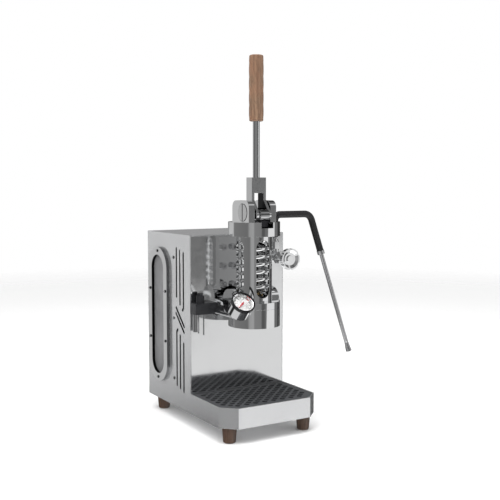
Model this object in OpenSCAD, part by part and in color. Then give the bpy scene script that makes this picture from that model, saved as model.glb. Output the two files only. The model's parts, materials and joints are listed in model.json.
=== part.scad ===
// Compact lever espresso machine: a sheet-steel case on walnut feet, with an open-cage lever group,
// a steam valve with a swivelling wand, a pressure gauge and a drip tray.
// +X is the machine's right, the front faces -Y, +Z is up, and the floor is z = 0.

/* [Case] */
// Outside width of the case
case_w = 180; // [165:1:220]
// Depth of the tall part of the case, front panel to back panel
case_d = 165; // [158:1:210]
// Height of the tall part above the tray top
case_h = 261; // [255:1:320]
// Height of the base and tray walls
base_h = 32.5; // [28:0.5:42]
// How far the tray reaches in front of the front panel
tray_reach = 117; // [112:1:150]
// Leg of the tray's corner chamfers
tray_chamfer = 23; // [10:1:30]
// Spacing of the grate's holes along the front
grate_pitch = 16.6; // [14:0.2:20]
// Width of the bars between the grate's holes
grate_bar = 3.2; // [2.4:0.1:4.5]
// Sheet thickness of the case
sheet_t = 2; // [1.5:0.1:3]

/* [Feet] */
// Height of the feet
foot_h = 26; // [18:1:36]
// Radius of a foot at its top
foot_r = 12; // [9:0.5:14]
// Radius of a foot at its bottom
foot_bottom_r = 10; // [7:0.5:12]

/* [Side windows and vents] */
// Height of the window ring, end to end
window_h = 235; // [150:1:240]
// Width of the window ring
window_w = 74; // [60:1:84]
// Width of the ring's own band
window_band = 13.5; // [9:0.5:18]
// How far the ring stands out of the side panel
window_proud = 5.2; // [2:0.1:8]
// Width of a vent slot
vent_w = 4.6; // [3:0.1:6]
// Spacing of the vent slots
vent_pitch = 12.8; // [9:0.1:14]

/* [Group] */
// Distance of the group's axis in front of the front panel
group_reach = 52; // [50:1:58]
// Outside radius of the bell and the cap
bell_r = 42; // [40:0.5:46]
// Inside radius of the portafilter socket
socket_r = 36; // [33:0.5:37]
// Height of the bell's lower edge above the tray top
bell_clear = 115; // [95:1:125]
// Height of the bell
bell_h = 40.5; // [36:0.5:50]
// Outside radius of the spring cage
cage_r = 29; // [28:0.5:31]
// Bore radius of the spring cage, and of the piston's cylinder
cylinder_r = 25.5; // [24:0.1:26.5]
// Width of the windows in the cage
cage_slot_w = 23.6; // [14:0.1:28]
// Height of the group cap
cap_h = 22.5; // [18:0.5:30]

/* [Lever] */
// Distance of the lever's pivot in front of the group's axis
pivot_reach = 6.5; // [3:0.5:9]
// Height of the pivot above the cap
pivot_rise = 15.2; // [14.8:0.1:22]
// Gap between the cap's ears
ear_gap = 29.4; // [28:0.1:34]
// Thickness of one ear
ear_t = 10.8; // [8:0.1:14]
// Radius of the pivot pin's shank
pivot_r = 7; // [5:0.1:8]
// Width of the fork block across the ears
fork_w = 26.4; // [25.6:0.1:27.4]
// Width of the fork's slot
fork_slot_w = 16.9; // [15.5:0.1:18]
// Radius of the roller
roller_r = 9.4; // [8:0.1:10]
// Distance from the pivot to the roller
roller_arm = 19.2; // [18:0.1:21]
// Radius of the lever rod
rod_r = 5.45; // [4:0.05:7]
// Length of the lever rod between fork and grip
rod_len = 89; // [60:1:160]
// Length of the wooden grip
grip_len = 104; // [80:1:140]
// Radius of the wooden grip
grip_r = 11.7; // [10:0.1:16]

/* [Piston] */
// Piston travel over the whole swing of the lever
stroke = 14; // [8:0.5:14]
// Swing of the lever in degrees
lever_swing = 90; // [60:1:95]
// Radius of the spring's wire
wire_r = 3.2; // [2:0.1:3.6]
// Working turns of the main spring
spring_turns = 6.6; // [5:0.1:7]

/* [Gauge] */
// Radius of the gauge's bezel
gauge_r = 19; // [16:0.5:21]
// Depth of the gauge's case
gauge_d = 23; // [14:0.5:24]
// Backward tilt of the gauge's face from upright
gauge_tilt = 44; // [20:1:50]

/* [Steam] */
// Sideways distance of the steam valve from the group's axis
valve_x = 62.2; // [60:0.1:70]
// Height of the steam valve below the top of the case
valve_drop = 40.4; // [34:0.1:60]
// Radius of the steam knob
knob_r = 17.5; // [14:0.5:20]
// Outside radius of the wand tube
wand_r = 3.5; // [2.5:0.1:4]
// Outside radius of the rubber sleeve
sleeve_r = 5.9; // [5:0.1:7]
// Sideways reach of the wand's level stretch
wand_reach = 72; // [50:1:90]
// Length of the wand's sloping leg
wand_leg = 264; // [180:1:270]
// Slope of the leg from upright, in degrees
wand_slope = 19.4; // [10:0.1:30]

/* [Boiler] */
// Outside radius of the boiler
boiler_r = 52; // [45:1:54]
// Height of the boiler shell
boiler_h = 170; // [140:1:175]

/* [Fits] */
// Radial clearance of a turning or sliding fit
running = 0.05; // [0.02:0.01:0.1]
// Gap between loose neighbours
gap = 0.4; // [0.3:0.05:0.6]
// Radial clearance of a fit that is put together once and stays
snug = 0.03; // [0.02:0.01:0.06]

/* [Hidden] */
$fn = 64;
eps = 0.01;

steel = [0.78, 0.78, 0.79];
polished = [0.86, 0.86, 0.87];
dark = [0.13, 0.13, 0.14];
walnut = [0.36, 0.22, 0.13];
rubber = [0.06, 0.06, 0.06];
brass = [0.78, 0.62, 0.3];

// Levels and half sizes of the case.
half_w = case_w / 2;
base_z = foot_h;
tray_z = base_z + base_h;
top_z = tray_z + case_h;
tray_y = -tray_reach;
inner_w = half_w - sheet_t;
chamfer_y = tray_y + tray_chamfer;

// Levels along the group's axis.
axis_y = -group_reach;
bell_z = tray_z + bell_clear;
cage_z = bell_z + bell_h;
cap_top = top_z + cap_h;
seat_z = cage_z + 8;
seat_t = 3;
socket_depth = 20;
lip_h = 6;
rib_half = 22.8;
flange_half = 38.7;
flange_t = 6;
flange_low = cage_z + 14.5;
rib_low = cage_z + 22;
bolt_x = 32.4;
bolt_mid = cage_z + 54;
bolt_pitch = 31;
flange_high = top_z - 4;
cage_slot_low = cage_z + 6.4;
cage_slot_high = top_z - 6.2;
spindle_r = 6;
cup_z = top_z - 2;
cup_t = 5;

// Lever geometry. The roller sits in front of the pivot and a little below it.
pivot_y = axis_y - pivot_reach;
pivot_z = cap_top + pivot_rise;
ear_in = ear_gap / 2;
ear_out = ear_in + ear_t;
ear_half = 26;
ear_top = pivot_z + 19;
pin_head_r = 13.8;
pin_head_t = 5;
head_gap = 0.8;
fork_half = fork_w / 2;
fork_slot = fork_slot_w / 2;
fork_depth = 17;
fork_slot_top = 30.9;
fork_top = 55.7;
roller_dip = 12;
roller_pin_r = 3;
rod_top = fork_top + rod_len;
rod_sink = 15;
tang_r = rod_r - 1.4;
plate_low = cap_top - 7.9;
plate_half = fork_slot - 1.3;

// Gauge place and direction.
gauge_x = -51.8;
gauge_y = -104.9;
gauge_z = cage_z + 6.3;

// Steam valve, wand corner and bends.
valve_y = -16.9;
valve_z = top_z - valve_drop;
valve_body_r = 9;
wand_bend_low = 10;
wand_bend_high = 16;
wand_level_z = valve_z + 71.7;
knob_y = -62.7;
nut_low = valve_z + 14;
nut_h = 12;

// Relief manifold on the front panel's left.
manifold_l = -half_w + 0.5;
manifold_r = -50;
manifold_low = cage_z - 22;
manifold_high = cage_z - 4;
manifold_out = 19;

// Boiler and its neighbours inside the case.
boiler_x = 20;
boiler_y = case_d / 2 + 2;
boiler_z = base_z + 40;
boiler_top = boiler_z + boiler_h;
lid_r = boiler_r + 7;
lid_t = 5;
gasket_t = 2;
neck_x = 52;
neck_r = 9;
panel_gap = 0.2;
screw_r = 2.4;
screw_hole_r = 1.5;

// Window and vent layout, shared by both sides.
window_y = 115;
window_z = tray_z + 118;
window_half = window_w / 2;
window_flat = window_h / 2 - window_half;
vent_y = 37;
vent_top = 121;

// ---------- shared shapes ----------

// Rounded slot outline standing along the second axis, from its two end heights.
module slot_2d(width, low, high) {
    translate([0, low + width / 2]) circle(d = width);
    translate([0, high - width / 2]) circle(d = width);
    translate([-width / 2, low + width / 2]) square([width, high - low - width]);
}

// Outline of a bar with round ends that follows two or three points, as one closed list of points.
function polar(r, a) = r * [cos(a), sin(a)];
function heading(a, b) = atan2(b[1] - a[1], b[0] - a[0]);
function arc(centre, r, from, to) = [for (i = [0:6]) centre + polar(r, from + (to - from) * i / 6)];
function corner(centre, r, from, to, side) = to > from
    ? arc(centre, r, from + side * 90, to + side * 90)
    : [centre + polar(r / cos((to - from) / 2), (from + to) / 2 + side * 90)];
function bar_outline(path, r) = let (n = len(path) - 1, first = heading(path[0], path[1]),
    last = heading(path[n - 1], path[n])) concat(arc(path[0], r, first + 90, first + 270),
    n > 1 ? corner(path[1], r, first, last, -1) : [], arc(path[n], r, last - 90, last + 90),
    n > 1 ? corner(path[1], r, last, first, 1) : []);

// Round bar bent through part of a circle in the XZ plane, starting upright at the origin.
module bend(radius, angle, bar_r) {
    translate([radius, 0, 0]) rotate([90, 0, 0]) rotate([0, 0, 180 - angle])
        rotate_extrude(angle = angle) translate([radius, 0]) circle(r = bar_r);
}

module pipe(outer, inner, length) {
    difference() {
        cylinder(r = outer, h = length);
        translate([0, 0, -1]) cylinder(r = inner, h = length + 2);
    }
}

// Places its child on the outside of a side panel, with local X to the back, Y up and Z outward.
module on_side(side) {
    if (side < 0) translate([-half_w, 0, 0]) rotate([90, 0, -90]) mirror([1, 0, 0]) children();
    else translate([half_w, 0, 0]) rotate([90, 0, 90]) children();
}

module screw_head(r, h) {
    difference() {
        cylinder(r = r, h = h);
        translate([0, 0, h * 0.45]) cylinder(r = r * 0.5, h = h, $fn = 6);
    }
}

function ring_points() = [
    [window_y, window_z + window_flat + window_half - window_band / 2],
    [window_y, window_z - window_flat - window_half + window_band / 2],
    [window_y + window_half - window_band / 2, window_z + 43],
    [window_y + window_half - window_band / 2, window_z - 43],
    [window_y - window_half + window_band / 2, window_z + 43],
    [window_y - window_half + window_band / 2, window_z - 43]];
function vent_screw_points() = [for (k = [-1, 0, 1]) [vent_y + 24.5, window_z + k * 103]];

// ---------- case ----------

module window_outline(shrink) {
    translate([window_y, 0]) slot_2d(window_w - 2 * shrink, window_z - window_h / 2 + shrink,
        window_z + window_h / 2 - shrink);
}

// Half of the vent pattern; the other half is this one turned about the pattern's centre.
module vent_half() {
    r = vent_w / 2;
    tops = [vent_top, vent_top - 3.2, vent_top - 6.2];
    bottoms = [36, 24.2, 19];
    for (i = [0:1]) let (x = (1 - i) * vent_pitch)
        polygon(bar_outline([[x, tops[i] - r], [x, bottoms[i] + r]], r));
    polygon(bar_outline([[-vent_pitch, tops[2] - r], [-vent_pitch, bottoms[2] + r],
        [-vent_pitch + 3.4, bottoms[2] - 1.4]], r));
    polygon(bar_outline([[vent_pitch + 1.5, 19], [-vent_pitch - 2.3, -9.5]], r));
}

module vents_2d() {
    translate([vent_y, window_z]) {
        vent_half();
        rotate(180) vent_half();
    }
}

module side_outline() {
    polygon([[chamfer_y, base_z], [case_d, base_z], [case_d, top_z], [0, top_z], [0, tray_z],
        [chamfer_y, tray_z]]);
}

module side_panel(side) {
    color(steel) on_side(side) translate([0, 0, -sheet_t]) linear_extrude(sheet_t) difference() {
        side_outline();
        vents_2d();
        window_outline(window_band / 2);
        for (p = concat(ring_points(), vent_screw_points())) translate(p) circle(r = screw_hole_r, $fn = 24);
    }
}

module left_side_panel() { side_panel(-1); }
module right_side_panel() { side_panel(1); }

module window_ring(side) {
    color(steel) on_side(side) difference() {
        linear_extrude(window_proud) difference() {
            window_outline(0);
            window_outline(window_band);
        }
        for (p = ring_points()) translate([p[0], p[1], -1])
            cylinder(r = screw_hole_r, h = window_proud + 2, $fn = 24);
    }
}
module left_window_ring() { window_ring(-1); }
module right_window_ring() { window_ring(1); }

// Plain plate that fills the window, screwed up behind the ring.
module window_panel(side) {
    color([0.5, 0.5, 0.51]) on_side(side) {
        translate([0, 0, -sheet_t]) linear_extrude(sheet_t) difference() {
            window_outline(window_band / 2 + panel_gap);
            for (p = ring_points()) translate(p) circle(r = screw_hole_r, $fn = 24);
        }
    }
}
module left_window_panel() { window_panel(-1); }
module right_window_panel() { window_panel(1); }

module panel_screws(side) {
    color(steel) on_side(side) {
        for (p = ring_points()) translate([p[0], p[1], 0]) {
            translate([0, 0, window_proud]) screw_head(screw_r, 1.6);
            translate([0, 0, -sheet_t - 3])
                cylinder(r = screw_hole_r - snug, h = window_proud + sheet_t + 3 + eps, $fn = 24);
        }
        for (p = vent_screw_points()) translate([p[0], p[1], 0]) {
            screw_head(screw_r, 1.6);
            translate([0, 0, -sheet_t - 3])
                cylinder(r = screw_hole_r - snug, h = sheet_t + 3 + eps, $fn = 24);
        }
    }
}
module left_panel_screws() { panel_screws(-1); }
module right_panel_screws() { panel_screws(1); }

module front_panel() {
    color(polished) difference() {
        translate([-inner_w, 0, tray_z - 14]) cube([2 * inner_w, sheet_t, top_z - tray_z + 14 - sheet_t]);
        // feed and steam pipes and the gauge's capillary pass through here
        translate([0, -1, feed_z]) rotate([-90, 0, 0]) cylinder(r = feed_r + 1, h = sheet_t + 2);
        translate([valve_x, -1, valve_z]) rotate([-90, 0, 0]) cylinder(r = 5.5, h = sheet_t + 2);
    }
}

module back_panel() {
    color(steel) difference() {
        translate([-inner_w, case_d - sheet_t, base_z + sheet_t])
            cube([2 * inner_w, sheet_t, top_z - base_z - 2 * sheet_t]);
        translate([switch_x, case_d - sheet_t - 1, back_z]) rotate([-90, 0, 0])
            translate([-switch_w / 2, -switch_h / 2, 0]) cube([switch_w, switch_h, sheet_t + 2]);
        translate([inlet_x, case_d - sheet_t - 1, back_z]) rotate([-90, 0, 0])
            translate([-inlet_w / 2, -inlet_h / 2, 0]) cube([inlet_w, inlet_h, sheet_t + 2]);
        // louvres high on the back
        for (i = [-4:4]) translate([i * 13, case_d - sheet_t - 1, 0]) rotate([90, 0, 0]) mirror([0, 0, 1])
            linear_extrude(sheet_t + 2) slot_2d(4, top_z - 62, top_z - 26);
    }
}

module top_panel() {
    color(steel) difference() {
        translate([-inner_w, 0, top_z - sheet_t]) cube([2 * inner_w, case_d, sheet_t]);
        translate([neck_x, boiler_y, top_z - sheet_t - 1]) cylinder(r = neck_r + 1, h = sheet_t + 2);
    }
}

module base_plate() {
    color(steel) difference() {
        translate([-inner_w, chamfer_y, base_z]) cube([2 * inner_w, case_d - chamfer_y, sheet_t]);
        for (p = foot_points()) translate([p[0], p[1], base_z - 1])
            cylinder(r = stud_r + snug, h = sheet_t + 2);
    }
}

// Front wall of the tray with its two chamfered corners, bent from one strip, and its floor.
function skirt_corners(inset) = [[-half_w + inset, chamfer_y],
    [-half_w + tray_chamfer + 0.414 * inset, tray_y + inset],
    [half_w - tray_chamfer - 0.414 * inset, tray_y + inset], [half_w - inset, chamfer_y]];

module tray_skirt() {
    outer = skirt_corners(0);
    inner = skirt_corners(sheet_t);
    color(steel) translate([0, 0, base_z]) {
        linear_extrude(base_h) polygon(concat(outer, [for (i = [3:-1:0]) inner[i]]));
        linear_extrude(sheet_t) difference() {
            polygon(outer);
            for (p = foot_points()) translate(p) circle(r = stud_r + snug);
        }
    }
}

stud_r = 2.5;
function foot_points() = [[-69.5, -92.5], [69.5, -92.5], [-69.5, case_d - 19.5], [69.5, case_d - 19.5]];

module feet() {
    color(walnut) for (p = foot_points()) translate([p[0], p[1], 0]) {
        rotate_extrude() polygon(concat([[0, 0]],
            [for (a = [0:15:90]) [foot_bottom_r - 2.5 + 2.5 * sin(a), 2.5 - 2.5 * cos(a)]],
            [[foot_r, foot_h], [0, foot_h]]));
        translate([0, 0, foot_h - eps]) cylinder(r = stud_r, h = sheet_t + eps);
    }
}

// ---------- drip tray ----------

pan_in = sheet_t + 1;
pan_wall = 1.5;
pan_z = base_z + sheet_t + 0.5;
pan_top = tray_z - 4.5;
grate_t = 4;
grate_z = pan_top;
grate_back = -1;
grate_back_y = -7;
grate_rim = 9;

// Outline of what lies inside the tray's walls, set in from the outer walls.
module tray_inside(inset, back) {
    x = half_w - inset;
    y = tray_y + inset;
    cut = tray_chamfer - inset * 0.586;
    polygon([[-x, back], [-x, y + cut], [-x + cut, y], [x - cut, y], [x, y + cut], [x, back]]);
}

module drip_pan() {
    color(steel) difference() {
        translate([0, 0, pan_z]) linear_extrude(pan_top - pan_z) tray_inside(pan_in, grate_back);
        translate([0, 0, pan_z + pan_wall]) linear_extrude(pan_top - pan_z)
            tray_inside(pan_in + pan_wall, grate_back - pan_wall);
    }
}

// Square holes on the diagonal, each with its corners cut, kept where the centre is in the field.
module grate_holes() {
    half = grate_pitch / 2;
    side_x = half_w - grate_rim;
    front_y = tray_y + grate_rim + 2;
    cols = floor(side_x / half);
    rows = floor((grate_back_y - front_y) / half);
    for (i = [-cols:cols]) for (j = [0:rows]) {
        x = i * half;
        y = grate_back_y - j * half;
        if ((i + j) % 2 == 0 && abs(x) - y < side_x - front_y - tray_chamfer + 2)
            translate([x, y]) rotate(45) polygon(hole_points(grate_pitch / sqrt(8) - grate_bar / 2, 1.6));
    }
}
function hole_points(h, cut) = [[h, -h + cut], [h, h - cut], [h - cut, h], [-h + cut, h], [-h, h - cut],
    [-h, -h + cut], [-h + cut, -h], [h - cut, -h]];

module drip_grate() {
    color(dark) difference() {
        translate([0, 0, grate_z]) linear_extrude(grate_t) tray_inside(pan_in, grate_back);
        translate([0, 0, grate_z - 1]) linear_extrude(grate_t + 2) intersection() {
            grate_holes();
            tray_inside(grate_rim, grate_back_y);
        }
    }
}

// ---------- boiler and services ----------

feed_r = 9;
feed_z = cage_z + 2;

module boiler_shell() {
    color(polished) translate([boiler_x, boiler_y, boiler_z]) difference() {
        union() {
            cylinder(r = boiler_r, h = boiler_h);
            translate([0, 0, boiler_h - 4]) cylinder(r = lid_r, h = 4);
        }
        translate([0, 0, 2]) cylinder(r = boiler_r - 2, h = boiler_h);
        bolt_ring(-1, boiler_h + 2, 2.2);
        translate([-boiler_x, -boiler_r + 6, feed_z - boiler_z]) rotate([90, 0, 0])
            cylinder(r = feed_r, h = 20);
    }
}

module bolt_ring(low, length, r) {
    for (a = [30:60:330]) rotate(a) translate([boiler_r + 3.5, 0, low]) cylinder(r = r, h = length);
}

module boiler_gasket() {
    color(rubber) translate([boiler_x, boiler_y, boiler_top]) difference() {
        cylinder(r = lid_r, h = gasket_t);
        translate([0, 0, -1]) cylinder(r = boiler_r - 2, h = gasket_t + 2);
        bolt_ring(-1, gasket_t + 2, 2.2);
    }
}

module boiler_flange() {
    lid_z = boiler_top + gasket_t;
    color(polished) difference() {
        union() {
            translate([boiler_x, boiler_y, lid_z]) cylinder(r = lid_r, h = lid_t);
            translate([neck_x, boiler_y, lid_z]) cylinder(r = neck_r, h = top_z + 3 - lid_z);
        }
        translate([neck_x, boiler_y, lid_z - 1]) cylinder(r = neck_r - 2.5, h = top_z);
        translate([boiler_x, boiler_y, lid_z]) bolt_ring(-1, lid_t + 2, 2.2);
        translate([boiler_x - 20, boiler_y, lid_z - 1]) cylinder(r = 4, h = lid_t + 2);
        translate([boiler_x - 5, boiler_y - 25, lid_z - 1]) cylinder(r = 3, h = lid_t + 2);
        translate([boiler_x - 5, boiler_y + 25, lid_z - 1]) cylinder(r = 12, h = lid_t + 2);
    }
}

module boiler_bolts() {
    low = boiler_top - 4;
    span = 4 + gasket_t + lid_t;
    color(steel) translate([boiler_x, boiler_y, 0]) {
        bolt_ring(low - 3, span + 3 + eps, 2.1);
        for (a = [30:60:330]) rotate(a) translate([boiler_r + 3.5, 0, low + span]) screw_head(3.4, 4);
    }
}

module heating_element() {
    x = boiler_x - 5;
    y = boiler_y + 25;
    lid_z = boiler_top + gasket_t;
    color([0.55, 0.45, 0.4]) {
        translate([x, y, lid_z - 8]) cylinder(r = 11.9, h = 8 + lid_t);
        translate([x, y, lid_z + lid_t]) cylinder(r = 15, h = 4, $fn = 6);
        for (dx = [-6, 6]) translate([x + dx, y, lid_z + lid_t + 4 - eps]) cylinder(r = 2, h = 9);
        for (dx = [-7, 7]) translate([x + dx, y, boiler_z + 30]) cylinder(r = 3, h = boiler_h - 35);
        translate([x, y, boiler_z + 30]) rotate([-90, 0, 0])
            rotate_extrude(angle = 180) translate([7, 0]) circle(r = 3);
    }
}

module temperature_probe() {
    color(brass) translate([boiler_x - 5, boiler_y - 25, 0]) {
        translate([0, 0, boiler_top - 60]) cylinder(r = 2.9, h = 62 + gasket_t + lid_t);
        translate([0, 0, boiler_top + gasket_t + lid_t]) cylinder(r = 6, h = 6, $fn = 6);
    }
}

module control_box() {
    color(dark) translate([-inner_w + 5, case_d - 70, base_z + 14]) cube([30, 60, 120]);
}

// Short pipe from the boiler's side to the back of the bell.
module group_feed_pipe() {
    start = boiler_y - boiler_r + 5;
    color(polished) translate([0, start, feed_z]) rotate([90, 0, 0])
        pipe(feed_r - 0.1, feed_r - 2, start - 1);
}

// Steam leaves the lid, crosses to the valve's height and passes through the front panel.
module steam_pipe() {
    x = boiler_x - 20;
    lid_z = boiler_top + gasket_t;
    drop = 10;
    color(polished) {
        translate([x, boiler_y, lid_z]) cylinder(r = 3.9, h = valve_z - lid_z - drop);
        translate([x, boiler_y, valve_z - drop]) rotate([0, 0, -90 + steam_turn]) bend(drop, 90, 3.9);
        translate([x, boiler_y, valve_z]) rotate([0, 0, -90 + steam_turn]) translate([drop, 0, 0])
            rotate([0, 90, 0]) cylinder(r = 3.9, h = steam_run - drop);
        translate([valve_x, 12, valve_z]) sphere(r = 5);
        translate([valve_x, 12, valve_z]) rotate([90, 0, 0]) cylinder(r = 3.9, h = 12);
    }
}
steam_dx = valve_x - boiler_x + 20;
steam_dy = boiler_y - 12;
steam_turn = atan2(steam_dx, steam_dy);
steam_run = norm([steam_dx, steam_dy]);

module filler_cap() {
    color(dark) translate([neck_x, boiler_y, 0]) difference() {
        union() {
            translate([0, 0, top_z + 0.5]) cylinder(r = 12.5, h = 10.5);
            for (a = [0:30:330]) rotate(a) translate([12.4, 0, top_z + 0.5]) cylinder(r = 1, h = 10.5);
        }
        translate([0, 0, top_z]) cylinder(r = neck_r + 0.3, h = 4);
    }
}

// ---------- group ----------

module at_axis() { translate([0, axis_y, 0]) children(); }

neck_out_r = 24;
cross_r = 20.5;
cross_left = 37;
cross_right = 47;
cross_y = 18;

// Bell with the portafilter socket, the lower end of the cylinder and the neck to the case.
module group_bell() {
    color(polished) at_axis() difference() {
        union() {
            translate([0, 0, bell_z]) cylinder(r = bell_r, h = bell_h);
            translate([0, 0, feed_z - 12]) rotate([-90, 0, 0]) cylinder(r = neck_out_r, h = group_reach);
            translate([-cross_left, cross_y, cage_z - 1.7]) rotate([0, 90, 0])
                cylinder(r = cross_r, h = cross_left + cross_right);
        }
        translate([0, 0, cage_z]) cylinder(r = cage_r + snug, h = 40);
        translate([0, 0, bell_z - 1]) cylinder(r = socket_r, h = socket_depth + 1);
        translate([0, 0, bell_z + lip_h]) cylinder(r = socket_r + 2.8, h = 7);
        translate([0, 0, bell_z]) cylinder(r = cylinder_r, h = bell_h + 30);
        // entries for the two lugs of a portafilter
        for (a = [0, 180]) rotate(a + 45) translate([0, 0, bell_z - 1]) intersection() {
            cylinder(r = socket_r + 2.8, h = lip_h + 2);
            translate([20, -10, 0]) cube([30, 20, lip_h + 2]);
        }
        // seam of the bell's upper rim
        translate([0, 0, cage_z - 11]) difference() {
            cylinder(r = bell_r + 1, h = 0.6);
            translate([0, 0, -1]) cylinder(r = bell_r - 0.6, h = 3);
        }
        translate([0, 12, feed_z]) rotate([-90, 0, 0]) cylinder(r = feed_r - 2, h = group_reach);
    }
}

module cage_slot() {
    rotate([90, 0, 0]) linear_extrude(cage_r + 5) slot_2d(cage_slot_w, cage_slot_low, cage_slot_high);
}

// Open cage round the main spring, with the rib and flange that bolt it to the case.
module spring_cage() {
    color(polished) at_axis() difference() {
        union() {
            translate([0, 0, cage_z]) cylinder(r = cage_r, h = top_z - cage_z);
            translate([-rib_half, 0, rib_low]) cube([2 * rib_half, group_reach, top_z - rib_low]);
            translate([-flange_half, group_reach - flange_t, flange_low])
                cube([2 * flange_half, flange_t, flange_high - flange_low]);
        }
        difference() {
            translate([0, 0, cage_z - 1]) cylinder(r = cylinder_r, h = top_z - cage_z + 2);
            translate([0, 0, seat_z]) cylinder(r = cylinder_r + 1, h = seat_t);
        }
        translate([0, 0, seat_z - 1]) cylinder(r = spindle_r + 2.5, h = seat_t + 2);
        for (a = [-90, 0, 90]) rotate(a) cage_slot();
        for (p = flange_points()) translate([p[0], group_reach - flange_t - 1, p[1]]) rotate([-90, 0, 0])
            cylinder(r = 3.1, h = flange_t + 2);
    }
}

function flange_points() = [for (s = [-1, 1]) for (k = [-1, 0, 1]) [s * bolt_x, bolt_mid + k * bolt_pitch]];

module flange_bolts() {
    color(steel) for (p = flange_points()) translate([p[0], -flange_t, p[1]]) rotate([90, 0, 0]) {
        difference() {
            cylinder(r = 5.4, h = 6);
            translate([0, 0, 3]) cylinder(r = 2.9, h = 4, $fn = 6);
        }
        translate([0, 0, -flange_t + eps]) cylinder(r = 3, h = flange_t);
    }
}

module ear_2d() {
    r = 11;
    translate([-ear_half, cap_top - 3]) square([2 * ear_half, ear_top - cap_top + 3 - r]);
    translate([-ear_half + r, ear_top - r - 1]) square([2 * (ear_half - r), r + 1]);
    for (s = [-1, 1]) translate([s * (ear_half - r), ear_top - r]) circle(r = r);
}

// Cap over the cage, with the well for the lever's cheeks and the two ears.
module group_cap() {
    color(polished) at_axis() difference() {
        union() {
            translate([0, 0, top_z]) cylinder(r = bell_r, h = cap_h);
            for (s = [-1, 1]) translate([s > 0 ? ear_in : -ear_out, 0, 0]) rotate([90, 0, 90])
                linear_extrude(ear_t) ear_2d();
        }
        translate([-ear_in, -36, top_z - 1]) cube([ear_gap, 64, cap_h + 2]);
        translate([0, 0, top_z - 1]) cylinder(r = cylinder_r, h = 6);
        // notch in the front rim
        translate([-11, -bell_r - 1, cap_top - 9]) cube([22, 12, 10]);
        translate([-ear_out - 1, -pivot_reach, pivot_z]) rotate([0, 90, 0])
            cylinder(r = pivot_r + snug, h = 2 * ear_out + 2);
        for (s = [-1, 1]) translate([s > 0 ? ear_out - pin_head_t : -ear_out - 1, -pivot_reach, pivot_z])
            rotate([0, 90, 0]) cylinder(r = pin_head_r + head_gap, h = pin_head_t + 1);
    }
}

module shower_screen() {
    color(steel) at_axis() translate([0, 0, bell_z + socket_depth - 2.5]) difference() {
        cylinder(r = cylinder_r + 3, h = 2.5);
        for (ring = [1:4]) for (a = [0:360 / (ring * 6):359]) rotate(a)
            translate([ring * 5.4, 0, -1]) cylinder(r = 0.9, h = 5, $fn = 16);
    }
}

module group_gasket() {
    color(rubber) at_axis() translate([0, 0, bell_z + socket_depth - 5.5]) difference() {
        cylinder(r = socket_r - 0.05, h = 5.5);
        translate([0, 0, -1]) cylinder(r = cylinder_r + 3.05, h = 8);
    }
}

// ---------- piston and spring ----------

piston_h = 9;
piston_z = seat_z - piston_h - 0.6;
seal_w = 2.4;

module piston() {
    color(polished) at_axis() translate([0, 0, piston_z]) difference() {
        cylinder(r = cylinder_r - 0.3, h = piston_h);
        for (z = [1.6, 5]) translate([0, 0, z]) difference() {
            cylinder(r = cylinder_r + 1, h = seal_w);
            translate([0, 0, -1]) cylinder(r = cylinder_r - 2.3, h = seal_w + 2);
        }
        translate([0, 0, piston_h - 5]) cylinder(r = 4 + snug, h = 6);
    }
}

module piston_seals() {
    color(rubber) at_axis() for (z = [1.6, 5]) translate([0, 0, piston_z + z]) difference() {
        cylinder(r = cylinder_r - running, h = seal_w);
        translate([0, 0, -1]) cylinder(r = cylinder_r - 2.3, h = seal_w + 2);
    }
}

// Height of the roller's centre when the lever has swung by an angle.
function roller_y(a) = pivot_y - roller_arm * cos(roller_dip + a);
function roller_z(a) = pivot_z - roller_arm * sin(roller_dip + a);
// The same centre as the moving cam plate sees it, and the plate's surface under it.
function cam_z(a) = roller_z(a) + stroke * a / lever_swing;
function cam_slope(a) = atan2(cam_z(a + 1) - cam_z(a - 1), roller_y(a + 1) - roller_y(a - 1));
function cam_point(a) = [roller_y(a) + (roller_r + 0.35) * sin(cam_slope(a)) - axis_y,
    cam_z(a) - (roller_r + 0.35) * cos(cam_slope(a))];

// Swing at which the roller meets the plate's front edge.
cam_start = 12;

// Spindle with the spring's cup and, above it, the cam plate that the roller pushes down.
module piston_rod() {
    cam = [for (a = [cam_start:6:lever_swing]) cam_point(a)];
    last = cam[len(cam) - 1];
    color(polished) at_axis() {
        translate([0, 0, piston_z + piston_h - 5]) cylinder(r = 4, h = 6);
        translate([0, 0, piston_z + piston_h]) cylinder(r = spindle_r, h = cup_z - piston_z - piston_h);
        translate([0, 0, cup_z - cup_t]) cylinder(r = cylinder_r - 1.2, h = cup_t);
        translate([0, 0, cup_z - eps]) cylinder(r = plate_half - 1, h = plate_low - cup_z + 1);
        rotate([90, 0, 90]) translate([0, 0, -plate_half]) linear_extrude(2 * plate_half)
            polygon(concat([[cam[0][0], plate_low]], cam,
                [[last[0] + 10, last[1]], [last[0] + 10, plate_low]]));
    }
}

module rod_bush() {
    color(brass) at_axis() translate([0, 0, seat_z]) difference() {
        union() {
            cylinder(r = spindle_r + 2.45, h = seat_t);
            translate([0, 0, seat_t]) cylinder(r = spindle_r + 5, h = 2);
        }
        translate([0, 0, -1]) cylinder(r = spindle_r + running, h = seat_t + 4);
    }
}

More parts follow.
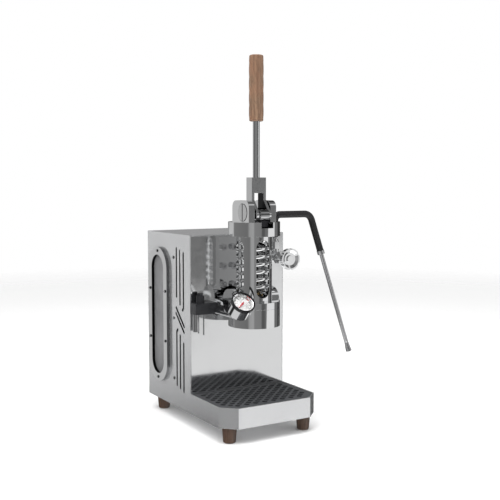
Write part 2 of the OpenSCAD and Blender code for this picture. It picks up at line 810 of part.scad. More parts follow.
// Helical spring swept along its own axis: rings of points joined into one closed skin.
spring_low = seat_z + seat_t + wire_r + 0.3;
spring_high = cup_z - cup_t - wire_r - 0.3;
spring_r = cylinder_r - wire_r - 1.2;
spring_sides = 8;
spring_steps = 20;
function helix_ring(t) = let (a = 360 * t, pitch = (spring_high - spring_low) / spring_turns,
    rise = atan2(pitch, 2 * PI * spring_r)) [for (k = [0:spring_sides - 1]) let (b = 360 * k / spring_sides,
    out = spring_r + wire_r * cos(b), along = wire_r * sin(b))
    [out * cos(a) + along * sin(rise) * sin(a), out * sin(a) - along * sin(rise) * cos(a),
    spring_low + pitch * t + along * cos(rise)]];
module main_spring() {
    rings = round(spring_turns * spring_steps);
    points = [for (i = [0:rings]) for (p = helix_ring(i / spring_steps)) p];
    faces = concat([[for (k = [0:spring_sides - 1]) k]],
        [for (i = [0:rings - 1]) for (k = [0:spring_sides - 1]) let (n = (k + 1) % spring_sides)
        [i * spring_sides + k, (i + 1) * spring_sides + k,
            (i + 1) * spring_sides + n, i * spring_sides + n]],
        [[for (k = [spring_sides - 1:-1:0]) rings * spring_sides + k]]);
    color(polished) at_axis() polyhedron(points, faces, convexity = 10);
}

// ---------- lever ----------

module at_pivot() { translate([0, pivot_y, pivot_z]) children(); }
roller_dy = -roller_arm * cos(roller_dip);
roller_dz = -roller_arm * sin(roller_dip);

// Cheek outline seen from the side: round the pivot, out to the roller's pin, up to the block.
module cheek_2d() {
    circle(r = 11);
    translate([roller_dy, roller_dz]) circle(r = 6.5);
    polygon([[-fork_depth / 2, fork_slot_top + 1], [-fork_depth / 2, 20], [roller_dy - 5.4, roller_dz + 3.6],
        [roller_dy - 2, roller_dz - 6.1], [-4, -10.2], [8, 0], [fork_depth / 2, 6],
        [fork_depth / 2, fork_slot_top + 1]]);
}

module lever_fork() {
    color(steel) at_pivot() difference() {
        union() {
            for (s = [-1, 1]) translate([s > 0 ? fork_slot : -fork_half, 0, 0]) rotate([90, 0, 90])
                linear_extrude(fork_half - fork_slot) cheek_2d();
            translate([-fork_half, -fork_depth / 2, fork_slot_top])
                cube([fork_w, fork_depth, fork_top - fork_slot_top]);
        }
        translate([-fork_half - 1, 0, 0]) rotate([0, 90, 0]) cylinder(r = pivot_r + running, h = fork_w + 2);
        translate([-fork_half - 1, roller_dy, roller_dz]) rotate([0, 90, 0])
            cylinder(r = roller_pin_r, h = fork_w + 2);
        translate([0, 0, fork_top - rod_sink]) cylinder(r = rod_r, h = rod_sink + 1);
    }
}

module lever_rod() {
    color(steel) at_pivot() {
        translate([0, 0, fork_top - rod_sink]) cylinder(r = rod_r, h = rod_len + rod_sink);
        translate([0, 0, rod_top - eps]) cylinder(r = tang_r, h = grip_len - 12);
    }
}

// Twisted grip: a lobed outline turned along its length, with plain ends.
module grip_outline(r) {
    lobes = 8;
    polygon([for (a = [0:9:351]) let (radius = r - 0.55 + 0.55 * cos(lobes * a))
        [radius * cos(a), radius * sin(a)]]);
}

module lever_grip() {
    collar = 3;
    color(walnut) at_pivot() translate([0, 0, rod_top]) difference() {
        union() {
            cylinder(r1 = grip_r - 1.6, r2 = grip_r - 0.8, h = collar);
            translate([0, 0, collar - eps]) linear_extrude(grip_len - 2 * collar, twist = 213, slices = 42)
                grip_outline(grip_r);
            translate([0, 0, grip_len - collar - 2 * eps])
                cylinder(r1 = grip_r - 0.8, r2 = grip_r - 1.6, h = collar);
        }
        translate([0, 0, -1]) cylinder(r = tang_r + snug, h = grip_len - 11);
    }
}

// Pin with a slotted head in each ear, fixed in the cap.
module pivot_pin() {
    color(steel) at_pivot() difference() {
        union() {
            translate([-ear_out, 0, 0]) rotate([0, 90, 0]) cylinder(r = pivot_r, h = 2 * ear_out);
            for (s = [-1, 1]) translate([s > 0 ? ear_out - pin_head_t : -ear_out - 0.6, 0, 0])
                rotate([0, 90, 0]) cylinder(r = pin_head_r, h = pin_head_t + 0.6);
        }
        for (s = [-1, 1]) translate([s * (ear_out + 0.6) - 1.5, -1.1, -pin_head_r - 1])
            cube([3, 2.2, 2 * pin_head_r + 2]);
    }
}

module cam_roller() {
    half = fork_slot - gap;
    color(steel) at_pivot() translate([-half, roller_dy, roller_dz]) rotate([0, 90, 0]) difference() {
        cylinder(r = roller_r, h = 2 * half);
        translate([0, 0, -1]) cylinder(r = roller_pin_r + running, h = 2 * half + 2);
    }
}

module roller_pin() {
    color(steel) at_pivot() translate([-fork_half, roller_dy, roller_dz]) rotate([0, 90, 0])
        cylinder(r = roller_pin_r, h = fork_w);
}

// ---------- gauge ----------

module at_gauge() {
    translate([gauge_x, gauge_y, gauge_z]) rotate([90 - gauge_tilt, 0, -4]) children();
}

module gauge_case() {
    color(polished) at_gauge() difference() {
        translate([0, 0, -gauge_d]) cylinder(r = gauge_r - 1.5, h = gauge_d);
        translate([0, 0, -5]) cylinder(r = gauge_r - 3 + snug, h = 6);
    }
}

module gauge_bezel() {
    color(rubber) at_gauge() difference() {
        translate([0, 0, -2.5]) cylinder(r = gauge_r, h = 4.5);
        translate([0, 0, -3]) cylinder(r = gauge_r - 1.5 + snug, h = 3);
        translate([0, 0, -1]) cylinder(r = gauge_r - 2.4, h = 4);
    }
}

module gauge_dial() {
    color([0.93, 0.93, 0.92]) at_gauge() translate([0, 0, -5]) cylinder(r = gauge_r - 3, h = 1.5);
}

module gauge_glass() {
    color([0.9, 0.95, 1, 0.3]) at_gauge() cylinder(r = gauge_r - 2.45, h = 1.2);
}

needle_rest = 128;
module gauge_needle() {
    color([0.75, 0.1, 0.12]) at_gauge() translate([0, 0, -3.2]) rotate(needle_rest) {
        cylinder(r = 1.6, h = 1.4);
        translate([0, 0, 0.2]) linear_extrude(0.8) polygon([[-1, -3], [1, -3], [0.35, 11.5], [-0.35, 11.5]]);
    }
}

// Elbow from the back of the gauge to the hose tail on the manifold.
elbow_len = 12;
module gauge_elbow() {
    color(polished) {
        at_gauge() translate([0, 0, -gauge_d - elbow_len]) {
            cylinder(r = 4, h = elbow_len);
            translate([0, 0, 3]) cylinder(r = 7, h = 6, $fn = 6);
        }
        translate([elbow_x, elbow_y, elbow_z]) {
            sphere(r = 4.6);
            rotate([-90, 0, 0]) cylinder(r = 3.4, h = -manifold_out - elbow_y);
        }
    }
}
elbow_drop = gauge_d + elbow_len;
elbow_x = gauge_x - elbow_drop * cos(gauge_tilt) * sin(4);
elbow_y = gauge_y + elbow_drop * cos(gauge_tilt) * cos(4);
elbow_z = gauge_z - elbow_drop * sin(gauge_tilt);

module relief_manifold() {
    color(dark) {
        translate([manifold_l, -manifold_out, manifold_low])
            cube([manifold_r - manifold_l, manifold_out, manifold_high - manifold_low]);
        translate([manifold_l + 13, -manifold_out / 2, manifold_high - eps]) cylinder(r = 7, h = 12);
        translate([manifold_l + 13, -manifold_out / 2, manifold_high + 12 - 2 * eps])
            cylinder(r = 5, h = 4, $fn = 6);
    }
    color(polished) translate([manifold_r + eps, -manifold_out, elbow_z - 7]) cube([12.5, manifold_out, 14]);
}

module relief_pipes() {
    color(steel) {
        translate([-84, -9, bell_z - 10.3]) pipe(5, 3.6, manifold_low - bell_z + 10.3);
        translate([-70, -9, bell_z - 17]) cylinder(r = 1.2, h = manifold_low - bell_z + 17);
    }
}

// ---------- steam valve and wand ----------

module steam_valve() {
    color(polished) difference() {
        union() {
            translate([valve_x, 0, valve_z]) rotate([90, 0, 0]) cylinder(r = 14, h = 4);
            translate([valve_x, 0, valve_z]) rotate([90, 0, 0]) cylinder(r = valve_body_r, h = 32);
            translate([valve_x, -26, valve_z]) rotate([90, 0, 0]) cylinder(r = 11, h = 8, $fn = 6);
            translate([valve_x, valve_y, valve_z]) cylinder(r = 6.5, h = nut_low - valve_z);
        }
        translate([valve_x, -20, valve_z]) rotate([90, 0, 0]) cylinder(r = 3.5 + running, h = 20);
        translate([valve_x, valve_y, valve_z + 7]) cylinder(r = wand_bore, h = 20);
    }
}

// Steam knob: a dished wheel with six finger hollows in its rim, on its own spindle.
module steam_knob() {
    color(polished) translate([valve_x, knob_y, valve_z]) rotate([90, 0, 0]) difference() {
        union() {
            translate([0, 0, -39]) cylinder(r = 3.5, h = 40);
            translate([0, 0, -9]) cylinder(r1 = 6, r2 = knob_r - 3, h = 5);
            translate([0, 0, -4 - eps]) cylinder(r = knob_r, h = 8);
        }
        translate([0, 0, 1]) cylinder(r1 = knob_r - 7, r2 = knob_r - 2.5, h = 3 + 2 * eps);
        for (a = [30:60:330]) rotate(a) translate([knob_r + 4, 0, -10]) cylinder(r = 5.2, h = 20);
    }
    color(polished) translate([valve_x, knob_y, valve_z]) rotate([90, 0, 0]) translate([0, 0, 1 - eps])
        cylinder(r = 6.2, h = 2.6);
}

module at_wand() { translate([valve_x, valve_y, 0]) children(); }
wand_turn = 90 - wand_slope;
wand_setback = wand_bend_high * tan(wand_turn / 2);
sleeve_drop = 68;
wand_foot = nut_low + 1;
wand_hair = 0.1;
wand_bore = wand_r + wand_hair + running;
tip_len = 17;

module valve_nut() {
    color(polished) at_wand() translate([0, 0, nut_low + gap]) difference() {
        union() {
            cylinder(r = 8.4, h = nut_h, $fn = 6);
            translate([0, 0, nut_h - eps]) cylinder(r1 = 7, r2 = 5, h = 4);
        }
        translate([0, 0, -1]) cylinder(r = wand_bore, h = nut_h + 6);
    }
}

// Solid route of the wand: up, over, and down the sloping leg. The straights reach a little into
// the bends and are a hair thicker, so that each bend starts inside them.
module wand_route(radius, low, leg_end) {
    lap = 0.4;
    level = wand_level_z - wand_bend_low;
    run = wand_reach - wand_bend_low - wand_setback;
    at_wand() {
        translate([0, 0, low]) cylinder(r = radius + wand_hair, h = level - low + lap);
        translate([0, 0, level]) bend(wand_bend_low, 90, radius);
        translate([wand_bend_low - lap, 0, wand_level_z]) rotate([0, 90, 0])
            cylinder(r = radius + wand_hair, h = run + 2 * lap);
        translate([wand_reach - wand_setback, 0, wand_level_z]) rotate([0, 90, 0])
            bend(wand_bend_high, wand_turn, radius);
        translate([wand_reach, 0, wand_level_z]) rotate([0, 180 - wand_slope, 0])
            translate([0, 0, wand_setback - lap])
                cylinder(r = radius + wand_hair, h = leg_end - wand_setback + lap);
    }
}

module wand_tube() {
    color(steel) wand_route(wand_r, wand_foot - 7, wand_leg - tip_len);
}

module wand_sleeve() {
    color(rubber) difference() {
        wand_route(sleeve_r, nut_low + nut_h + 8, sleeve_drop);
        wand_route(wand_r + 0.1, nut_low, sleeve_drop + 5);
    }
}

module wand_tip() {
    color(steel) at_wand() translate([wand_reach, 0, wand_level_z]) rotate([0, 180 - wand_slope, 0]) {
        translate([0, 0, sleeve_drop]) pipe(6.4, wand_r + wand_hair + 0.03, 7);
        translate([0, 0, wand_leg - tip_len]) difference() {
            cylinder(r1 = wand_r, r2 = 5.2, h = tip_len);
            for (a = [45:90:315]) rotate(a) translate([2.6, 0, 14]) cylinder(r = 0.7, h = 4, $fn = 16);
        }
    }
}

// ---------- power ----------

back_z = base_z + 32;
switch_x = -40;
switch_w = 20;
switch_h = 27;
rocker_y = -1.8;
rocker_pin_r = 1.2;
inlet_x = 30;
inlet_w = 28;
inlet_h = 21;

module switch_housing() {
    color(dark) translate([switch_x, case_d, back_z]) difference() {
        union() {
            translate([-switch_w / 2 - 2, 0, -switch_h / 2 - 2]) cube([switch_w + 4, 1.8, switch_h + 4]);
            translate([-switch_w / 2 + 0.1, -20, -switch_h / 2 + 0.1])
                cube([switch_w - 0.2, 21, switch_h - 0.2]);
        }
        translate([-switch_w / 2 + 2, -8, -switch_h / 2 + 2]) cube([switch_w - 4, 12, switch_h - 4]);
        translate([-switch_w / 2 + 1 - gap, rocker_y, 0]) rotate([0, 90, 0])
            cylinder(r = rocker_pin_r + running, h = switch_w - 2 + 2 * gap);
    }
}

module switch_rocker() {
    color([0.55, 0.08, 0.08]) translate([switch_x, case_d, back_z]) {
        rotate([90, 0, 90]) translate([0, 0, -switch_w / 2 + 2 + gap]) linear_extrude(switch_w - 4 - 2 * gap)
            polygon([[-4, -6], [-4, 6], [1.2, 10.6], [2.8, 0], [4.2, -9.2], [1, -10.6]]);
        translate([-switch_w / 2 + 1, rocker_y, 0]) rotate([0, 90, 0])
            cylinder(r = rocker_pin_r, h = switch_w - 2);
    }
}

module power_inlet() {
    color(dark) translate([inlet_x, case_d, back_z]) difference() {
        union() {
            translate([-inlet_w / 2 - 9, 0, -inlet_h / 2 - 1]) cube([inlet_w + 18, 2.5, inlet_h + 2]);
            translate([-inlet_w / 2 + 0.1, -22, -inlet_h / 2 + 0.1])
                cube([inlet_w - 0.2, 23, inlet_h - 0.2]);
        }
        translate([-12, -14, -8]) cube([24, 20, 16]);
        for (s = [-1, 1]) translate([s * (inlet_w / 2 + 5), -1, 0]) rotate([-90, 0, 0])
            cylinder(r = 1.6, h = 5);
    }
    color(steel) translate([inlet_x, case_d, back_z]) for (p = [[-7, -3], [0, 3], [7, -3]])
        translate([p[0] - 1, -15, p[1] - 2]) cube([2, 12, 4]);
}

left_side_panel();
right_side_panel();
front_panel();
back_panel();
top_panel();
base_plate();
tray_skirt();
left_window_ring();
left_window_panel();
left_panel_screws();
right_window_ring();
right_window_panel();
right_panel_screws();
feet();
drip_pan();
drip_grate();
boiler_shell();
boiler_flange();
boiler_gasket();
boiler_bolts();
heating_element();
temperature_probe();
control_box();
group_feed_pipe();
steam_pipe();
filler_cap();
group_bell();
spring_cage();
flange_bolts();
group_cap();
shower_screen();
group_gasket();
piston();
piston_seals();
piston_rod();
rod_bush();
main_spring();
lever_fork();
lever_rod();
lever_grip();
pivot_pin();
cam_roller();
roller_pin();
gauge_case();
gauge_bezel();
gauge_dial();
gauge_needle();
gauge_glass();
gauge_elbow();
relief_manifold();
relief_pipes();
steam_valve();
steam_knob();
valve_nut();
wand_tube();
wand_sleeve();
wand_tip();
switch_housing();
switch_rocker();
power_inlet();
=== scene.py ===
"""Looks of a compact lever espresso machine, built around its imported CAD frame. Metres, Z up."""
import json
import math

import bmesh
import bpy
from mathutils import Matrix, Vector


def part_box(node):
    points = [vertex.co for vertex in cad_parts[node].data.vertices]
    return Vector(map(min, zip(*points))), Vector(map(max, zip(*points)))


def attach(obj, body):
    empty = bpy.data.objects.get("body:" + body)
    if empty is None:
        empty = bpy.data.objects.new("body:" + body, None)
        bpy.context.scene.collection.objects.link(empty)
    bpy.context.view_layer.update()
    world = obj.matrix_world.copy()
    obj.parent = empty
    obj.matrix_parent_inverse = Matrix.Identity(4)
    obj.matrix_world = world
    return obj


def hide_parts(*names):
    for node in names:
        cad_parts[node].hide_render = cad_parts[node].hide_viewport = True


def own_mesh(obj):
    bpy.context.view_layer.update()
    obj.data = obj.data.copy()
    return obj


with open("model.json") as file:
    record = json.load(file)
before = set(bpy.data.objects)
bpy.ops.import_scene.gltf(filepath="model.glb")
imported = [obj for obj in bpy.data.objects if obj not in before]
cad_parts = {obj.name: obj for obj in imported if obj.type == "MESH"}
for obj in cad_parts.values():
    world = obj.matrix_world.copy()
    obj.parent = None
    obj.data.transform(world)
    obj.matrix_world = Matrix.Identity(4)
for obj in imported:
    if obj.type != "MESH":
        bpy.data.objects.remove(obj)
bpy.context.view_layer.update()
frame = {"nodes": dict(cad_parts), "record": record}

MM = 0.001
scene = bpy.context.scene
RECORD = frame["record"]
SLOT_OF = {row["node"]: row["material_slot"] for row in RECORD["subparts"]}


# ---------- node helpers ----------

class Mat:
    """A Principled material and short ways to add procedural detail to it."""

    def __init__(self, name, color, metallic=0.0, rough=0.4, **sockets):
        self.m = bpy.data.materials.new(name)
        self.m.use_nodes = True
        self.m.diffuse_color = (*color, 1)
        self.nt = self.m.node_tree
        self.out = next(n for n in self.nt.nodes if n.type == "OUTPUT_MATERIAL")
        self.p = next(n for n in self.nt.nodes if n.type == "BSDF_PRINCIPLED")
        self.p.inputs["Base Color"].default_value = (*color, 1)
        self.p.inputs["Metallic"].default_value = metallic
        self.p.inputs["Roughness"].default_value = rough
        for key, value in sockets.items():
            self.p.inputs[key.replace("_", " ")].default_value = value
        self.coord = self.add("ShaderNodeTexCoord").outputs["Object"]
        self.height = None

    def add(self, kind, **props):
        n = self.nt.nodes.new(kind)
        for k, v in props.items():
            setattr(n, k, v)
        return n

    def link(self, a, b):
        self.nt.links.new(a, b)

    def mapped(self, scale, rotation=(0, 0, 0)):
        n = self.add("ShaderNodeMapping")
        n.inputs["Scale"].default_value = scale
        n.inputs["Rotation"].default_value = rotation
        self.link(self.coord, n.inputs["Vector"])
        return n.outputs["Vector"]

    def noise(self, scale, detail=3.0, rough=0.5, distortion=0.0, coord=None):
        n = self.add("ShaderNodeTexNoise")
        n.inputs["Scale"].default_value = scale
        n.inputs["Detail"].default_value = detail
        n.inputs["Roughness"].default_value = rough
        n.inputs["Distortion"].default_value = distortion
        self.link(coord or self.coord, n.inputs["Vector"])
        return n.outputs["Fac"]

    def ramp(self, fac, stops):
        n = self.add("ShaderNodeValToRGB")
        e = n.color_ramp.elements
        while len(e) < len(stops):
            e.new(0.5)
        for item, (pos, col) in zip(e, stops):
            item.position = pos
            item.color = (*col, 1) if len(col) == 3 else (col[0], col[0], col[0], 1)
        self.link(fac, n.inputs["Fac"])
        return n.outputs["Color"]

    def span(self, fac, low, high, source=(0.3, 0.7)):
        n = self.add("ShaderNodeMapRange")
        n.inputs["From Min"].default_value, n.inputs["From Max"].default_value = source
        n.inputs["To Min"].default_value, n.inputs["To Max"].default_value = low, high
        self.link(fac, n.inputs["Value"])
        return n.outputs["Result"]

    def math(self, op, a, b=None):
        n = self.add("ShaderNodeMath", operation=op)
        for i, v in enumerate((a, b)):
            if v is None:
                continue
            if isinstance(v, (int, float)):
                n.inputs[i].default_value = v
            else:
                self.link(v, n.inputs[i])
        return n.outputs[0]

    def mix(self, fac, a, b):
        n = self.add("ShaderNodeMix", data_type="RGBA")
        for key, v in ((0, fac), (6, a), (7, b)):
            if isinstance(v, (int, float)):
                n.inputs[key].default_value = v
            elif isinstance(v, tuple):
                n.inputs[key].default_value = (*v, 1)
            else:
                self.link(v, n.inputs[key])
        return n.outputs[2]

    def color(self, socket):
        self.link(socket, self.p.inputs["Base Color"])

    def rough(self, socket):
        self.link(socket, self.p.inputs["Roughness"])

    def bump(self, height, distance, strength=1.0, edge=0.0):
        """Bump from a height, on top of an optional worn round edge."""
        n = self.add("ShaderNodeBump")
        n.inputs["Strength"].default_value = strength
        n.inputs["Distance"].default_value = distance
        self.link(height, n.inputs["Height"])
        if edge:
            b = self.add("ShaderNodeBevel", samples=4)
            b.inputs["Radius"].default_value = edge
            self.link(b.outputs["Normal"], n.inputs["Normal"])
        self.link(n.outputs["Normal"], self.p.inputs["Normal"])


def brushed(name, color, rough, along, streak=0.06, depth=2e-5, edge=4e-4, metallic=1.0, fine=2600.0,
            spread=0.2):
    """Metal with a drawn grain along one axis (0, 1 or 2), soft smudges and rounded edges."""
    m = Mat(name, color, metallic, rough)
    scale = [fine, fine, fine]
    scale[along] = 22.0
    grain = m.noise(1.0, 4, 0.6, coord=m.mapped(scale))
    wide = [260.0, 260.0, 260.0]
    wide[along] = 5.0
    bands = m.noise(1.0, 2, 0.5, coord=m.mapped(wide))
    smudge = m.noise(14.0, 4, 0.6, 0.4)
    value = m.math("ADD", m.math("MULTIPLY", grain, 0.6), m.math("MULTIPLY", bands, 0.4))
    c = Vector(color)
    m.color(m.mix(m.span(value, 0, 1), tuple(c * (1 - streak)), tuple(c * (1 + streak * 0.6))))
    r = m.math("ADD", m.span(grain, rough * (1 - spread), rough * (1 + spread)), m.span(smudge, -0.02, 0.05))
    m.rough(r)
    m.bump(grain, depth, 0.5, edge)
    return m


def polished(name, color, rough, edge=4e-4, waviness=0.0):
    """Polished plated metal: faint wipe marks, specks of dust and small scratches in the gloss."""
    m = Mat(name, color, 1.0, rough)
    wipe = m.noise(30.0, 5, 0.65, 0.8)
    hair = m.noise(1.0, 3, 0.6, coord=m.mapped((1500, 240, 900), (0.5, 0.3, 0.7)))
    scratch = m.ramp(hair, [(0.0, (0,)), (0.66, (0,)), (0.72, (1,)), (1.0, (1,))])
    r = m.math("ADD", m.span(wipe, rough * 0.7, rough * 1.5), m.math("MULTIPLY", scratch, 0.05))
    m.rough(r)
    c = Vector(color)
    m.color(m.mix(m.span(wipe, 0, 1), tuple(c * 0.965), tuple(c)))
    low = m.noise(22.0, 1, 0.4)
    h = m.math("ADD", m.math("MULTIPLY", scratch, 0.04), m.math("MULTIPLY", low, waviness))
    m.bump(h, 1e-4, 0.35, edge)
    return m


def walnut(name, dark, light, axis, freq=1.0, rough=0.42):
    """Oiled walnut: long grain along one axis with swirls, pores and a satin finish."""
    m = Mat(name, light, 0.0, rough, Coat_Weight=0.12, Coat_Roughness=0.3)
    scale = [85.0 * freq, 85.0 * freq, 85.0 * freq]
    scale[axis] = 9.0 * freq
    long_grain = m.noise(1.0, 5, 0.62, 1.1, coord=m.mapped(scale))
    rings = m.add("ShaderNodeTexWave", wave_type="BANDS", bands_direction="X", wave_profile="SIN")
    rings.inputs["Scale"].default_value = 0.9
    rings.inputs["Distortion"].default_value = 5.0
    rings.inputs["Detail"].default_value = 3.0
    rings.inputs["Detail Scale"].default_value = 1.4
    m.link(m.mapped([s * 0.9 for s in scale], (0.1, 0.08, 0.4)), rings.inputs["Vector"])
    fine = [900.0, 900.0, 900.0]
    fine[axis] = 38.0
    pores = m.noise(1.0, 3, 0.6, coord=m.mapped(fine))
    pore_mask = m.ramp(pores, [(0.0, (0,)), (0.56, (0,)), (0.66, (1,)), (1.0, (1,))])
    d, l = Vector(dark), Vector(light)
    base = m.ramp(long_grain, [(0.28, tuple(d)), (0.45, tuple(d.lerp(l, 0.45))), (0.58, tuple(l)),
                               (0.72, tuple(l * 1.28))])
    ringed = m.mix(m.span(rings.outputs["Fac"], 0.0, 0.55, (0.0, 1.0)), base, tuple(d))
    patch = m.noise(26.0 * freq, 2, 0.5, 0.5)
    toned = m.mix(m.span(patch, 0.0, 0.35), ringed, (l[0] * 1.25, l[1] * 0.86, l[2] * 0.74))
    m.color(m.mix(m.math("MULTIPLY", pore_mask, 0.55), toned, tuple(d * 0.55)))
    gloss = m.span(long_grain, rough * 1.15, rough * 0.85)
    m.rough(m.math("ADD", gloss, m.math("MULTIPLY", pore_mask, 0.12)))
    relief = m.math("SUBTRACT", m.math("MULTIPLY", long_grain, 0.5), m.math("MULTIPLY", pore_mask, 0.5))
    m.bump(relief, 1.2e-4, 0.6)
    return m


def moulded(name, color, rough, grain=900.0, depth=4e-5, edge=4e-4, **sockets):
    """Moulded plastic, rubber or paint: a fine skin with softer and shinier patches."""
    m = Mat(name, color, 0.0, rough, **sockets)
    skin = m.noise(grain, 4, 0.6)
    patch = m.noise(40.0, 3, 0.5, 0.3)
    c = Vector(color)
    m.color(m.mix(m.span(patch, 0, 1), tuple(c * 0.85), tuple(c * 1.2)))
    m.rough(m.math("ADD", m.span(skin, rough * 0.88, rough * 1.12), m.span(patch, -0.03, 0.05)))
    m.bump(skin, depth, 0.6, edge)
    return m


# ---------- materials by record slot ----------

STEEL = (0.74, 0.745, 0.755)
# a black used as painted shade on the window rings' inner walls and in the fork's slot
SHADE_BLACK = (0.012, 0.012, 0.013)
# the case's sheets: a calm grain along Z, with some plain diffuse light mixed in
CASE_SHEET = dict(color=(0.83, 0.835, 0.845), rough=0.2, along=2, streak=0.015, depth=3e-7, edge=4e-4,
                  metallic=0.86, fine=1200.0, spread=0.04)
MATS = {
    "case_steel": brushed("case_steel", **CASE_SHEET),
    "mirror_steel": polished("mirror_steel", (0.85, 0.855, 0.86), 0.085, 0.0, 0.2),
    "window_grey": moulded("window_grey", (0.19, 0.19, 0.195), 0.42, 1200, 2e-5),
    "screw_steel": brushed("screw_steel", (0.66, 0.66, 0.67), 0.14, 0, 0.1, 1e-5, 2e-4),
    "foot_walnut": walnut("foot_walnut", (0.03, 0.018, 0.012), (0.115, 0.068, 0.042), 2, 1.3),
    "grip_walnut": walnut("grip_walnut", (0.11, 0.068, 0.044), (0.33, 0.215, 0.14), 2),
    "pan_steel": brushed("pan_steel", (0.55, 0.555, 0.56), 0.33, 0),
    "grate_dark": moulded("grate_dark", (0.052, 0.054, 0.058), 0.36, 1600, 3e-5, 5e-4),
    "boiler_steel": brushed("boiler_steel", STEEL, 0.25, 2),
    "black_rubber": moulded("black_rubber", (0.013, 0.013, 0.014), 0.5, 1400, 5e-5),
    "element_metal": brushed("element_metal", (0.42, 0.27, 0.2), 0.42, 2),
    "brass": brushed("brass", (0.72, 0.52, 0.24), 0.25, 0),
    "black_plastic": moulded("black_plastic", (0.016, 0.016, 0.018), 0.45, 1000, 5e-5),
    "chrome": polished("chrome", (0.88, 0.885, 0.89), 0.04, 3e-4),
    "screen_steel": polished("screen_steel", (0.7, 0.7, 0.71), 0.2, 2e-4),
    "piston_steel": brushed("piston_steel", (0.06, 0.06, 0.065), 0.3, 0, 0.05, 1e-5),
    "spring_steel": polished("spring_steel", (0.88, 0.885, 0.89), 0.07, 0.0),
    "lever_steel": brushed("lever_steel", (0.72, 0.725, 0.73), 0.14, 2, 0.04, 1e-5),
    "gauge_black": moulded("gauge_black", (0.008, 0.008, 0.009), 0.2, 700, 1e-5, 3e-4),
    "dial_white": moulded("dial_white", (0.6, 0.6, 0.595), 0.5, 1600, 1e-5, 0.0),
    "needle_red": moulded("needle_red", (0.55, 0.012, 0.03), 0.35, 1200, 1e-5, 0.0),
    "manifold_dark": moulded("manifold_dark", (0.045, 0.046, 0.05), 0.22, 1100, 3e-5, Metallic=0.6),
    "pipe_steel": brushed("pipe_steel", (0.6, 0.6, 0.61), 0.2, 2, 0.05, 1e-5),
    "rocker_red": moulded("rocker_red", (0.3, 0.012, 0.014), 0.25, 900, 2e-5),
}
glass = Mat("glass", (1, 1, 1), 0.0, 0.02, Transmission_Weight=1.0, IOR=1.1)
dust = glass.noise(60.0, 4, 0.6, 0.5)
glass.rough(glass.span(dust, 0.01, 0.05))
MATS["glass"] = glass


def masked(m, mask, dark):
    """Paint a flat dark colour over the metal where the mask is 1: painted shade in slots, openings and
    sideways edges, and the window rings' darker outer wall.
    """
    old = m.p.inputs["Base Color"].links[0].from_socket
    m.color(m.mix(mask, old, dark))


def middle(node):
    lo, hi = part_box(node)
    return (Vector(lo) + Vector(hi)) / 2


# the window rings are polished, with a darker outer wall and an inner wall painted black as painted shade
ring_low, ring_high = (Vector(c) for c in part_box("left_window_ring"))
ring_mid = (ring_low + ring_high) / 2
ring_half = (ring_high.y - ring_low.y) / 2
ring_flat = (ring_high.z - ring_low.z) / 2 - ring_half
ring = polished("ring_steel", (0.85, 0.855, 0.86), 0.07, 1e-4)
geometry = ring.add("ShaderNodeNewGeometry")
place, facing = ring.add("ShaderNodeSeparateXYZ"), ring.add("ShaderNodeSeparateXYZ")
ring.link(ring.coord, place.inputs[0])
ring.link(geometry.outputs["Normal"], facing.inputs[0])
off_y = ring.math("SUBTRACT", place.outputs[1], ring_mid.y)
off_z = ring.math("SUBTRACT", place.outputs[2], ring_mid.z)
nearest_z = ring.math("MINIMUM", ring.math("MAXIMUM", off_z, -ring_flat), ring_flat)
past_z = ring.math("SUBTRACT", off_z, nearest_z)
outward = ring.math("ADD", ring.math("MULTIPLY", off_y, facing.outputs[1]),
                    ring.math("MULTIPLY", past_z, facing.outputs[2]))
# this product is near the ring's radius on the outer wall, minus that on the inner one, 0 on the face
WALL_LIMIT = 4 * MM
masked(ring, ring.math("GREATER_THAN", outward, WALL_LIMIT), (0.22, 0.222, 0.226))
# painted shade: the rings' inner wall is painted black
masked(ring, ring.math("LESS_THAN", outward, -WALL_LIMIT), SHADE_BLACK)

# painted shade: the slot between the fork's cheeks is painted black
fork = brushed("fork_steel", (0.76, 0.765, 0.77), 0.13, 2, 0.04, 1e-5)
across = fork.add("ShaderNodeSeparateXYZ")
fork.link(fork.coord, across.inputs[0])
SLOT_ROOM = 0.8 * MM
slot_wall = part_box("cam_roller")[1][0] + SLOT_ROOM
way = fork.add("ShaderNodeSeparateXYZ")
fork.link(fork.add("ShaderNodeTexCoord").outputs["Normal"], way.inputs[0])
in_slot = fork.math("LESS_THAN", fork.math("ABSOLUTE", across.outputs[0]), slot_wall)
sideways = fork.math("GREATER_THAN", fork.math("ABSOLUTE", way.outputs[0]), 0.9)
downward = fork.math("LESS_THAN", way.outputs[2], -0.9)
masked(fork, fork.math("MULTIPLY", in_slot, fork.math("MAXIMUM", sideways, downward)), SHADE_BLACK)


def paint_side_shade(m, limit):
    """Blacken what faces away from the X axis: painted shade on the edges and in the slots of heads that look
    sideways.
    """
    away = m.add("ShaderNodeSeparateXYZ")
    m.link(m.add("ShaderNodeNewGeometry").outputs["True Normal"], away.inputs[0])
    masked(m, m.math("LESS_THAN", m.math("ABSOLUTE", away.outputs[0]), limit), (0.02, 0.02, 0.021))
    return m


# painted shade: the screw heads' sides and the pin's sides are blackened so the gaps round them look dark
side_screw = paint_side_shade(brushed("side_screw_steel", (0.8, 0.8, 0.81), 0.14, 0, 0.1, 1e-5, 0.0), 0.35)
pin_steel = paint_side_shade(brushed("pin_steel", (0.74, 0.745, 0.75), 0.16, 0, 0.04, 1e-5, 0.0), 0.7)
roller_steel = polished("roller_steel", (0.42, 0.425, 0.43), 0.05)
